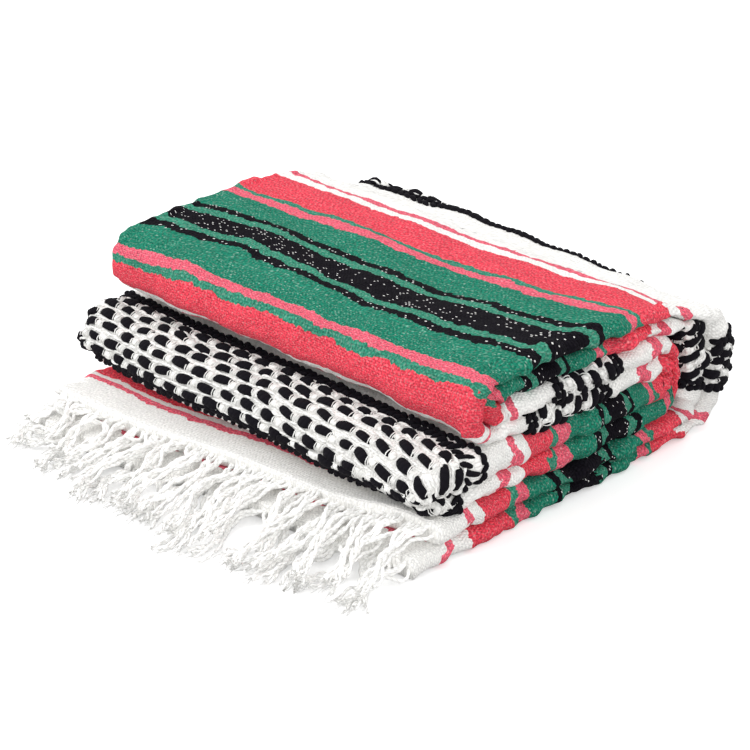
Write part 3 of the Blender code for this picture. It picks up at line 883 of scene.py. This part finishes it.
def waves(draw, turns):
    """A wave along every cord, with its own number of turns and its own start."""
    return np.sin(2 * math.pi * draw.uniform(*turns, (COUNT, 1)) * ALONG + draw.uniform(0, 6.3, (COUNT, 1)))


def cord_paths(draw, end_y, z_root, tips, hold, shorter):
    """The middle lines of a fringe's cords, (cords, steps, 3), from the cloth's edge to the tips."""
    t, table = ALONG, np.array(FRINGE)
    tuft_x = HALF_EDGE * (2 * (np.arange(TUFTS) + 0.5) / TUFTS - 1)
    offset = np.tile(np.linspace(-TUFT_WIDE, TUFT_WIDE, CORDS), TUFTS) * (HALF_EDGE / TUFTS)
    offset = offset + draw.uniform(-ROOT_SCATTER, ROOT_SCATTER, COUNT)
    x0 = tuft_x[TUFT_OF] + offset
    long = np.interp(x0, table[:, 0], table[:, 1]) * shorter
    long = long * (TUFT_SHORTEST + TUFT_LONGER * draw.random(TUFTS))[TUFT_OF]
    long = (long * draw.uniform(*CORD_SHARES, COUNT))[:, None]
    drift = np.interp(x0, table[:, 0], table[:, 2])[:, None] + for_tufts(draw, *LEAN_TO)
    gather = 1 - GATHER * smooth(0.0, GATHERED, t) + OPEN_AGAIN * smooth(OPENS, 1.0, t)
    turns, phase = for_tufts(draw, *TUFT_TURNS), for_tufts(draw, 0, 6.3)
    wave = TUFT_WAVE * np.sin(2 * math.pi * turns * t + phase) * smooth(0, 0.3, t)
    own = OWN_WAVE * waves(draw, OWN_TURNS) * smooth(0, 0.25, t)
    x = tuft_x[TUFT_OF][:, None] + offset[:, None] * gather + drift * t**DRIFT_POWER + wave + own
    y = end_y + END_SKEW * x0[:, None] + START_INSIDE - long * t
    y = y + AHEAD_WAVE * waves(draw, AHEAD_TURNS) * t
    fall = np.clip((long * t - hold) / (long - hold), 0, 1)
    root = (z_root + draw.uniform(-ROOT_HIGH, ROOT_HIGH, COUNT))[:, None]
    tip = draw.uniform(*tips, COUNT)[:, None]
    z = mix(tip, root, (1 - fall) ** DROOP_POWER)
    z = z + HIGH_WAVE * waves(draw, HIGH_TURNS) * np.sin(math.pi * t)
    return lean(x, y, np.maximum(z, PLY_RADIUS + PLY_OUT + ABOVE_FLOOR))


def plies(draw, path):
    """The two plies of each cord, which wind round its path and come apart at its end."""
    run, ahead, flank, up = along_paths(path)
    out = PLY_OUT * (1 + UNTWIST * smooth(UNTWIST_FROM, 1.0, ALONG))
    for ply in (0, 1):
        turn = 2 * math.pi * run / PLY_PITCH + math.pi * ply + draw.uniform(0, 6.3, (COUNT, 1))
        around = flank * np.cos(turn)[..., None] + up * np.sin(turn)[..., None]
        radius = PLY_RADIUS * (1 + SLUB * np.sin(run / SLUB_LONG + ply)) * (1 - THINNER * ALONG)
        yield (*tubes(path + around * out[..., None], radius, PLY_SIDES), 0)


def hairs(draw, path):
    """Loose fibres that leave each cord at a few places."""
    ahead = along_paths(path)[1]
    s = np.linspace(0, 1, HAIR_STEPS)[None, :, None]
    for share in HAIR_STARTS:
        start = int(CORD_STEPS * share)
        bend = draw.normal(0, 1, (COUNT, 1, 3)) * np.array([1, 1, HAIR_FLAT])
        far = draw.uniform(*HAIR_LONG, (COUNT, 1, 1))
        line = path[:, start][:, None] + ahead[:, start][:, None] * far * s + bend * HAIR_BEND * s**HAIR_POWER
        line[..., 2] = np.maximum(line[..., 2], HAIR_LOWEST)
        radius = HAIR_RADIUS * (1.2 - 0.7 * s[..., 0]) * np.ones((COUNT, 1))
        yield (*tubes(line, radius, HAIR_SIDES), 0)


def fringe_piece(name, end_y, z_root, tips, hold, shorter, seed):
    """One fringe; hold is how far its cords lie on the rolls below before they droop."""
    draw = np.random.default_rng(seed)
    path = cord_paths(draw, end_y, z_root, tips, hold, shorter)
    return join_parts(name, [*plies(draw, path), *hairs(draw, path)])


ROLL_1, ROLL_2 = LEVEL[1] / 2, (LEVEL[1] + LEVEL[2]) / 2
LOWER_FRINGE = fringe_piece("lower_fringe_cords", LOWER_END_Y, ROLL_1, (0.0022, 0.0056), 0.0, 0.80, 31)
UPPER_FRINGE = fringe_piece("upper_fringe_cords", UPPER_END_Y, ROLL_2, (0.0075, 0.0125), 0.021, 1.0, 37)

# %% [markdown]
# Finishes. Two effects are node groups with named inputs: the weave, which is rows of short weft
# floats with here and there a fleck of white warp between them, and the plies of a yarn, which
# three materials share. The shader itself stays in each material, with its sheen as a plain
# value. A few helpers keep the node trees short enough to read.

# %% Node helpers


def put(tree, kind, label="", **settings):
    node = tree.nodes.new(kind)
    node.label = label
    for key, value in settings.items():
        setattr(node, key, value)
    return node


def plug(tree, socket, value):
    """Links another node's output to a socket, or sets the socket to a plain value."""
    if isinstance(value, bpy.types.NodeSocket):
        tree.links.new(value, socket)
    else:
        socket.default_value = value


def feed(tree, node, **values):
    """Fills inputs by their names, with spaces written as underscores."""
    for key, value in values.items():
        plug(tree, node.inputs[key.replace("_", " ")], value)
    return node


def calc(tree, operation, *values):
    node = put(tree, "ShaderNodeMath", operation=operation)
    for socket, value in zip(node.inputs, values):
        plug(tree, socket, value)
    return node.outputs[0]


def blend_colour(tree, factor, colour_a, colour_b, blend_type="MIX"):
    node = put(tree, "ShaderNodeMix", data_type="RGBA", blend_type=blend_type)
    for number, value in ((0, factor), (6, colour_a), (7, colour_b)):
        plug(tree, node.inputs[number], value)
    return node.outputs[2]


def noise(tree, label, place, scale, detail):
    node = put(tree, "ShaderNodeTexNoise", label)
    return feed(tree, node, Vector=place, Scale=scale, Detail=detail).outputs["Fac"]


def grey(tree, value):
    return feed(tree, put(tree, "ShaderNodeCombineColor"), Red=value, Green=value, Blue=value).outputs[0]


def cloth_places(tree):
    """A piece's UV, whole and as its two numbers."""
    uv = put(tree, "ShaderNodeUVMap", uv_map="UVMap").outputs[0]
    return (uv, *feed(tree, put(tree, "ShaderNodeSeparateXYZ"), Vector=uv).outputs[:2])


def new_group(name, inputs, outputs):
    tree = bpy.data.node_groups.new(name, "ShaderNodeTree")
    for label, kind, value in inputs:
        socket = tree.interface.new_socket(name=label, in_out="INPUT", socket_type=kind)
        if value is not None:
            socket.default_value = value
    for label, kind in outputs:
        tree.interface.new_socket(name=label, in_out="OUTPUT", socket_type=kind)
    return tree, put(tree, "NodeGroupInput"), put(tree, "NodeGroupOutput")


def output_names(tree):
    return [item.name for item in tree.interface.items_tree if item.in_out == "OUTPUT"]


print("node groups so far:", len(bpy.data.node_groups))

# %% [markdown]
# The weave group works in metres of cloth. It cuts the cloth in cells, one for each place where
# a weft passes over a warp, half a cell aside in every second row. A cell's height is a small
# round hill, and a random number for each cell decides whether the white warp shows there. Its
# Shade is painted shade, darkest at a cell's edges where the weft dips, times a random heather tone.

# %% The weave group
RIB, PICK, FLECK_SHARE = 0.0026, 0.0016, 0.13    # a cell's width and length, and how many show white
TENSION_SCALE, TENSION = 110.0, 1.5
FLECK_TOP = 0.87         # a fleck is only the top of a cell's hill


def round_hill(tree, across, along):
    """A hill on each cell, from 0 at its edges to 1 in its middle."""
    slopes = []
    for value in (across, along):
        centred = calc(tree, "SUBTRACT", calc(tree, "MULTIPLY", calc(tree, "FRACT", value), 2.0), 1.0)
        slopes.append(calc(tree, "SUBTRACT", 1.0, calc(tree, "MULTIPLY", centred, centred)))
    return calc(tree, "SQRT", calc(tree, "MAXIMUM", calc(tree, "MULTIPLY", *slopes), 0.0))


def weave_group():
    tree, given, out = new_group(
        "Falsa weave",
        (("Across", "NodeSocketFloat", 0.0), ("Along", "NodeSocketFloat", 0.0),
         ("Rib", "NodeSocketFloat", RIB), ("Pick", "NodeSocketFloat", PICK),
         ("Fleck share", "NodeSocketFloat", FLECK_SHARE)),
        (("Height", "NodeSocketFloat"), ("Shade", "NodeSocketFloat"), ("Fleck", "NodeSocketFloat")),
    )
    place = feed(tree, put(tree, "ShaderNodeCombineXYZ"), X=given.outputs["Across"], Y=given.outputs["Along"])
    tension = noise(tree, "uneven tension", place.outputs[0], TENSION_SCALE, 2.0)
    shift = calc(tree, "MULTIPLY", calc(tree, "SUBTRACT", tension, 0.5), TENSION)
    along = calc(tree, "ADD", calc(tree, "DIVIDE", given.outputs["Along"], given.outputs["Pick"]), shift)
    row = calc(tree, "FLOOR", along)
    aside = calc(tree, "MULTIPLY", calc(tree, "MODULO", row, 2.0), 0.5)
    across = calc(tree, "ADD", calc(tree, "DIVIDE", given.outputs["Across"], given.outputs["Rib"]), aside)
    across = calc(tree, "ADD", across, calc(tree, "MULTIPLY", shift, 0.5))
    height = round_hill(tree, across, along)
    cell = feed(tree, put(tree, "ShaderNodeCombineXYZ"), X=calc(tree, "FLOOR", across), Y=row)
    chance = feed(tree, put(tree, "ShaderNodeTexWhiteNoise", "one number a cell", noise_dimensions="2D"),
                  Vector=cell.outputs[0])
    heather = feed(tree, put(tree, "ShaderNodeSeparateColor"), Color=chance.outputs["Color"])
    spot = calc(tree, "GREATER_THAN", chance.outputs["Value"],
                calc(tree, "SUBTRACT", 1.0, given.outputs["Fleck share"]))
    spot = calc(tree, "MULTIPLY", spot, calc(tree, "GREATER_THAN", height, FLECK_TOP))
    # painted shade: each cell is darker towards its edges, where the weft dips between floats; heather adds a
    # random tone per cell
    lit = calc(tree, "MULTIPLY_ADD", height, 0.26, 0.78)
    lit = calc(tree, "ADD", lit, calc(tree, "MULTIPLY_ADD", heather.outputs[0], 0.18, -0.09))
    feed(tree, out, Height=height, Shade=lit, Fleck=spot)
    return tree


WEAVE = weave_group()
print("weave outputs:", output_names(WEAVE))

# %% [markdown]
# The ply group draws the slanting plies of one yarn from its own UV: metres along it and turns
# round it. Its Shade is painted shade, darker in the grooves between the plies and where the fibre
# noise dips. It serves the floats and the fringe.

# %% The ply group
FIBRE_SCALE = 1400.0


def ply_group():
    tree, given, out = new_group(
        "Twisted yarn",
        (("Run", "NodeSocketFloat", 0.0), ("Turn", "NodeSocketFloat", 0.0),
         ("Pitch", "NodeSocketFloat", 0.004)),
        (("Height", "NodeSocketFloat"), ("Shade", "NodeSocketFloat")),
    )
    twist = calc(tree, "ADD", calc(tree, "DIVIDE", given.outputs["Run"], given.outputs["Pitch"]),
                 calc(tree, "MULTIPLY", given.outputs["Turn"], 2.0))
    ridge = calc(tree, "ABSOLUTE", calc(tree, "SINE", calc(tree, "MULTIPLY", twist, math.pi)))
    fibre = noise(tree, "fibres", put(tree, "ShaderNodeTexCoord").outputs["Object"], FIBRE_SCALE, 2.0)
    height = calc(tree, "ADD", calc(tree, "MULTIPLY", ridge, 0.7), calc(tree, "MULTIPLY", fibre, 0.6))
    # painted shade: darker in the grooves between the plies and where the fibre noise dips
    feed(tree, out, Height=height, Shade=calc(tree, "MULTIPLY_ADD", height, 0.30, 0.72))
    return tree


PLIES = ply_group()
print("ply outputs:", output_names(PLIES))

# %% [markdown]
# The stripes repeat in mirror order, from the middle of a float band to the middle of a black
# band and back, so a ping-pong of the cloth length and one colour ramp hold them all.

# %% Stripes
PINK, GREEN = (0.79, 0.060, 0.094, 1), (0.012, 0.200, 0.124, 1)
PALE_PINK, PALE_GREEN = (0.80, 0.115, 0.175, 1), (0.035, 0.24, 0.155, 1)
COTTON, INK = (0.91, 0.90, 0.875, 1), (0.006, 0.005, 0.008, 1)
STRIPES = (
    # where it ends, from the middle of a float band, and its colour
    (0.060, COTTON), (0.067, PALE_PINK), (0.077, COTTON), (0.107, PINK), (0.112, PALE_GREEN),
    (0.121, PALE_PINK), (0.145, GREEN), (0.151, INK), (0.158, PALE_GREEN), (0.170, INK),
)


def stripe_ramp(tree, factor):
    ramp = put(tree, "ShaderNodeValToRGB", "stripes of half a repeat")
    ramp.color_ramp.interpolation = "CONSTANT"
    elements = ramp.color_ramp.elements
    start = 0.0
    for number, (end, colour) in enumerate(STRIPES):
        element = elements[number] if number < 2 else elements.new(start / HALF_PERIOD)
        element.position, element.color = start / HALF_PERIOD, colour
        start = end
    return feed(tree, ramp, Fac=factor).outputs["Color"]


print("stripes of half a repeat:", len(STRIPES))

# %% [markdown]
# The boundaries of the stripes wander, as hand-beaten weft does: broadly, in blobs where a yarn is
# thick or thin, and raggedly from warp to warp. On the right ends the blobs are stronger, because
# the folded edge there was pulled about. So we add noise to the cloth length before it is looked
# up in the stripes, and every boundary then moves by itself.

# %% Wandering boundaries
BROAD, BROAD_SCALE, BROAD_STRETCH = 0.0090, 19.0, 0.6
RAGGED, RAGGED_SCALE = 0.0050, 260.0
BLOBS, BLOBS_MORE, BLOBS_SCALE = 0.0056, 0.0120, 62.0
ASKEW_SLOPE, ASKEW_START = 40.0, -5.6    # from 0 at 0.140 m across to 1 at 0.165 m


def wandering_length(tree, uv, across, along):
    stretched = calc(tree, "MULTIPLY", along, BROAD_STRETCH)
    stretched = feed(tree, put(tree, "ShaderNodeCombineXYZ"), X=across, Y=stretched).outputs[0]
    broad = noise(tree, "beaten unevenly", stretched, BROAD_SCALE, 1.0)
    ragged = noise(tree, "ragged boundaries", uv, RAGGED_SCALE, 3.0)
    blobs = noise(tree, "thick and thin places", uv, BLOBS_SCALE, 1.0)
    askew = calc(tree, "MULTIPLY_ADD", across, ASKEW_SLOPE, ASKEW_START)
    askew = calc(tree, "MINIMUM", calc(tree, "MAXIMUM", askew, 0.0), 1.0)
    uneven = calc(tree, "MULTIPLY_ADD", askew, BLOBS_MORE, BLOBS)
    wander = calc(tree, "MULTIPLY_ADD", broad, BROAD, -BROAD / 2)
    wander = calc(tree, "ADD", wander, calc(tree, "MULTIPLY", calc(tree, "SUBTRACT", blobs, 0.5), uneven))
    wander = calc(tree, "ADD", wander, calc(tree, "MULTIPLY_ADD", ragged, RAGGED, -RAGGED / 2))
    return calc(tree, "ADD", along, wander)


print("boundaries wander by up to", round((BROAD + RAGGED + BLOBS) / 2, 4), "m, more at the right ends")

# %% [markdown]
# The cloth itself is dull and fuzzy. Its colour carries the weave's painted shade, darker at the
# edges of each cell, and changes with uneven dye and with fuzz, least on the white stripes. White
# warp shows through the colours: as soft wisps on the bright ones, and as sharp flecks on the dark ones.

# %% The striped cloth
FUZZ_SCALE, DYE_SCALE, WISP_SCALE = 700.0, 55.0, 640.0
WISP_MOST, FLECK_LEAST = 0.30, 0.05


def painted_shade_dye_and_fuzz(tree, uv, weave_shade, fuzz, bright):
    """Painted shade between the weave cells, times uneven dye and fuzz, about 1: brighter stripes vary less.
    """
    dye = noise(tree, "uneven dye", uv, DYE_SCALE, 3.0)
    shade = calc(tree, "MULTIPLY", weave_shade, calc(tree, "MULTIPLY_ADD", dye, 0.50, 0.77))
    shade = calc(tree, "MULTIPLY", shade, calc(tree, "MULTIPLY_ADD", fuzz, 2.6, -0.30))
    calm = calc(tree, "MULTIPLY_ADD", bright, -0.75, 1.0)
    return calc(tree, "ADD", 1.0, calc(tree, "MULTIPLY", calc(tree, "SUBTRACT", shade, 1.0), calm))


def warp_showing(tree, uv, colour, fleck, bright):
    """Lays wisps and flecks of the white warp over the colour of the stripes."""
    wisp = noise(tree, "white warp showing", uv, WISP_SCALE, 2.0)
    wisp = calc(tree, "MAXIMUM", calc(tree, "MULTIPLY_ADD", wisp, 1.6, -0.80), 0.0)
    wisp = calc(tree, "MULTIPLY", wisp, calc(tree, "MINIMUM", calc(tree, "MULTIPLY", bright, 2.5), 1.0))
    colour = blend_colour(tree, calc(tree, "MINIMUM", wisp, WISP_MOST), colour, COTTON)
    strength = calc(tree, "MAXIMUM", FLECK_LEAST, calc(tree, "MULTIPLY_ADD", bright, -4.2, 0.85))
    return blend_colour(tree, calc(tree, "MULTIPLY", fleck, strength), colour, COTTON)


def cloth_material():
    material = bpy.data.materials.new("striped_falsa_cloth")
    material.use_nodes = True
    tree = material.node_tree
    shader = tree.nodes["Principled BSDF"]
    uv, across, along = cloth_places(tree)
    length = wandering_length(tree, uv, across, along)
    share = calc(tree, "DIVIDE", calc(tree, "PINGPONG", length, HALF_PERIOD), HALF_PERIOD)
    stripe = stripe_ramp(tree, share)
    bright = feed(tree, put(tree, "ShaderNodeRGBToBW"), Color=stripe).outputs[0]
    weave = put(tree, "ShaderNodeGroup", "weave")
    weave.node_tree = WEAVE
    feed(tree, weave, Across=across, Along=along, Rib=RIB, Pick=PICK, Fleck_share=FLECK_SHARE)
    fuzz = noise(tree, "fuzz", uv, FUZZ_SCALE, 3.0)
    shade = painted_shade_dye_and_fuzz(tree, uv, weave.outputs["Shade"], fuzz, bright)
    # the stripes times painted shade between the weave cells, uneven dye and fuzz
    colour = blend_colour(tree, 1.0, stripe, grey(tree, shade), "MULTIPLY")
    colour = warp_showing(tree, uv, colour, weave.outputs["Fleck"], bright)
    height = calc(tree, "ADD", weave.outputs["Height"], calc(tree, "MULTIPLY", fuzz, 0.7))
    bump = feed(tree, put(tree, "ShaderNodeBump"), Strength=0.7, Distance=0.0009, Height=height)
    feed(tree, shader, Base_Color=colour, Roughness=0.95, Normal=bump.outputs[0])
    feed(tree, shader, Sheen_Weight=0.012, Sheen_Roughness=0.5, Specular_IOR_Level=0.05)
    return material


CLOTH = cloth_material()
print("nodes in the cloth's finish:", len(CLOTH.node_tree.nodes))

# %% [markdown]
# The yarns that lie on the cloth: black floats, the white ground between them, and the fringe.
# They are one recipe with other values. The fringe glows a very little, so that it stays as pale
# as it looks before a white ground. Real yarn doesn't glow.

# %% The yarns


def yarn_material(name, colour, pitch, sheen, glow=0.0):
    material = bpy.data.materials.new(name)
    material.use_nodes = True
    tree = material.node_tree
    shader = tree.nodes["Principled BSDF"]
    uv, run, turn = cloth_places(tree)
    yarn = put(tree, "ShaderNodeGroup", "plies")
    yarn.node_tree = PLIES
    feed(tree, yarn, Run=run, Turn=turn, Pitch=pitch)
    # the yarn's colour darkened by painted shade in the grooves between its plies
    colour_with_painted_shade = blend_colour(tree, 1.0, colour, grey(tree, yarn.outputs["Shade"]), "MULTIPLY")
    bump = feed(tree, put(tree, "ShaderNodeBump"), Strength=0.6, Distance=0.0006,
                Height=yarn.outputs["Height"])
    feed(tree, shader, Base_Color=colour_with_painted_shade, Roughness=0.92, Normal=bump.outputs[0])
    feed(tree, shader, Sheen_Weight=sheen, Sheen_Roughness=0.5, Specular_IOR_Level=0.12)
    feed(tree, shader, Emission_Color=(1, 1, 0.98, 1), Emission_Strength=glow)
    return material


BLACK_YARN = yarn_material("black_float_yarn", INK, 0.0032, sheen=0.01)
WHITE_YARN = yarn_material("white_ground_yarn", (0.93, 0.925, 0.90, 1), 0.0032, sheen=0.2)
FRINGE_YARN = yarn_material("fringe_yarn", (0.97, 0.965, 0.945, 1), 0.0040, sheen=0.5, glow=0.10)
print("materials:", [m.name for m in (CLOTH, BLACK_YARN, WHITE_YARN, FRINGE_YARN)])

# %% [markdown]
# Every piece now gets its finish, rides on the one body, and stands for the plain solids that it
# dresses.


def dress(piece, slot, materials, *nodes):
    for material in materials:
        piece.data.materials.append(material)
    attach(piece, "root")
    if nodes:
        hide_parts(*nodes)


dress(BOTTOM_CLOTH, "cloth", [CLOTH], "bottom_stretch")
dress(BACK_CLOTH, "cloth", [CLOTH], "back_turn")
dress(TOP_CLOTH, "cloth", [CLOTH], "top_stretch_and_front_fold")
dress(INNER_CLOTH, "cloth", [CLOTH], "inner_stretch")
dress(MIDDLE_CLOTH, "cloth_black_white", [CLOTH], "middle_fold")
for floats in (NOSE_FLOATS, BACK_FLOATS, INNER_FLOATS):
    dress(floats, "cloth_black_white", [BLACK_YARN, WHITE_YARN])
dress(LOWER_FRINGE, "fringe", [FRINGE_YARN], "lower_fringe")
dress(UPPER_FRINGE, "fringe", [FRINGE_YARN], "upper_fringe")


def area(piece):
    return sum(face.area for face in piece.data.polygons)


for piece in (BOTTOM_CLOTH, BACK_CLOTH, TOP_CLOTH, INNER_CLOTH, MIDDLE_CLOTH):
    print(piece.name, "square metres:", round(area(piece), 4))

# %% [markdown]
# The studio: a pale floor that runs on under a pale sky, a large soft light from the upper left
# and a weaker one from the right. The floor glows a little to the camera alone, as a light table
# does, so its shadows stay faint. The camera looks down at the front right corner.

# %% Floor, light and camera
GROUND_HALF = 6.0
TARGET = Vector((0.0344, -0.0109, 0.06))
AZIMUTH, ELEVATION, DISTANCE = math.radians(44.2), math.radians(26.0), 1.72
LENS, SENSOR = 129.8, 36.0


def plain_material(name, colour, roughness):
    material = bpy.data.materials.new(name)
    material.use_nodes = True
    feed(material.node_tree, material.node_tree.nodes["Principled BSDF"], Base_Color=colour,
         Roughness=roughness, Specular_IOR_Level=0.1)
    return material


def floor():
    h = GROUND_HALF
    corners = np.array([(-h, -h, 0), (h, -h, 0), (h, h, 0), (-h, h, 0)], float)
    ground = make_mesh("ground", corners, np.array([[0, 1, 2, 3]]))
    pale = plain_material("pale_floor", (0.93, 0.93, 0.93, 1), 0.9)
    tree = pale.node_tree
    seen = put(tree, "ShaderNodeLightPath").outputs["Is Camera Ray"]
    tint = blend_colour(tree, seen, (0.60, 0.60, 0.60, 1), (0.93, 0.93, 0.93, 1))
    feed(tree, tree.nodes["Principled BSDF"], Base_Color=tint, Emission_Color=(1, 1, 1, 1),
         Emission_Strength=calc(tree, "MULTIPLY", seen, 0.35))
    ground.data.materials.append(pale)


def soft_light(name, place, size, power):
    light = bpy.data.lights.new(name, "AREA")
    light.shape, light.size, light.energy = "DISK", size, power
    lamp = bpy.data.objects.new(name, light)
    lamp.location = place
    lamp.rotation_euler = (TARGET - Vector(place)).to_track_quat("-Z", "Y").to_euler()
    bpy.context.scene.collection.objects.link(lamp)


def sky(strength):
    world = bpy.data.worlds.new("studio")
    world.use_nodes = True
    background = world.node_tree.nodes["Background"]
    background.inputs["Color"].default_value = (1, 1, 1, 1)
    background.inputs["Strength"].default_value = strength
    bpy.context.scene.world = world


def camera():
    level_part = math.cos(ELEVATION)
    back = Vector((math.sin(AZIMUTH) * level_part, -math.cos(AZIMUTH) * level_part, math.sin(ELEVATION)))
    lens = bpy.data.cameras.new("camera")
    lens.lens, lens.sensor_width = LENS, SENSOR
    eye = bpy.data.objects.new("camera", lens)
    eye.location = TARGET + back * DISTANCE
    eye.rotation_euler = (-back).to_track_quat("-Z", "Y").to_euler()
    bpy.context.scene.collection.objects.link(eye)
    bpy.context.scene.camera = eye


floor()
soft_light("key", (-1.2, -1.6, 2.2), 2.2, 40)
soft_light("side", (2.0, -0.6, 1.2), 1.8, 10)
sky(1.0)
camera()
bpy.context.scene.view_settings.view_transform = "Standard"
print("camera:", [round(part, 3) for part in bpy.context.scene.camera.location])
